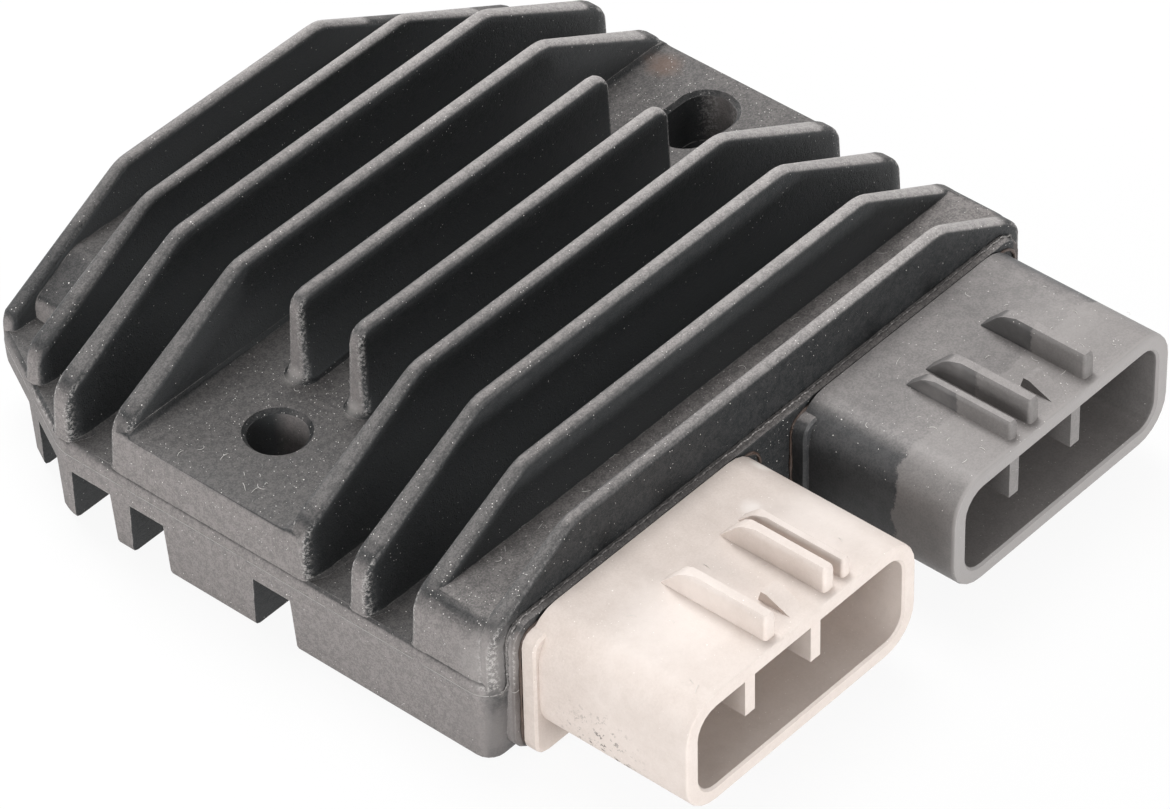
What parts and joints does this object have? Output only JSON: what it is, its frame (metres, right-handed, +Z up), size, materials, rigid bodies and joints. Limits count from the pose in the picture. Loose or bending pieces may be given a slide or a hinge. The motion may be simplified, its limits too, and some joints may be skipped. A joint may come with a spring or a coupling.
{
  "type": "voltage regulator rectifier",
  "caption": "Finned die-cast voltage regulator rectifier for a vehicle charging system, with flat plug connectors along one side and a round and a slotted mounting hole.",
  "frame": {"origin": "bottom centre of the bounding box: on the seating plane under the bosses, halfway across the width and halfway between the rear edge and the connector mouths", "axes": "+X along the fins, from the grey connector's side with the round hole to the dark connector's side with the slot; +Y to the rear, away from the connectors; +Z up through the fins"},
  "size_m": [0.0986, 0.1138, 0.0306],
  "materials": {
    "cast_coating": "satin, sandy cast grain",
    "grey_plastic": "matt, lightly mottled",
    "black_plastic": "matt, dusty",
    "tinned_brass": "tinned, satin",
    "thermal_film": "matt",
    "circuit_board": "lacquered",
    "package_plastic": "matt",
    "ceramic": "matt",
    "potting_resin": "smooth, slightly glossy"
  },
  "bodies": {
    "root": {"finned_housing": "cast_coating", "output_connector_shell": "grey_plastic", "stator_connector_shell": "black_plastic", "output_terminal_1": "tinned_brass", "output_terminal_2": "tinned_brass", "output_terminal_3": "tinned_brass", "stator_terminal_1": "tinned_brass", "stator_terminal_2": "tinned_brass", "stator_terminal_3": "tinned_brass", "thermal_film": "thermal_film", "power_substrate": "circuit_board", "mosfet_1": "package_plastic", "mosfet_2": "package_plastic", "mosfet_3": "package_plastic", "mosfet_4": "package_plastic", "mosfet_5": "package_plastic", "mosfet_6": "package_plastic", "control_chip": "package_plastic", "sense_resistor": "ceramic", "filter_capacitor_1": "ceramic", "filter_capacitor_2": "ceramic", "potting_resin": "potting_resin"}
  },
  "joints": []
}
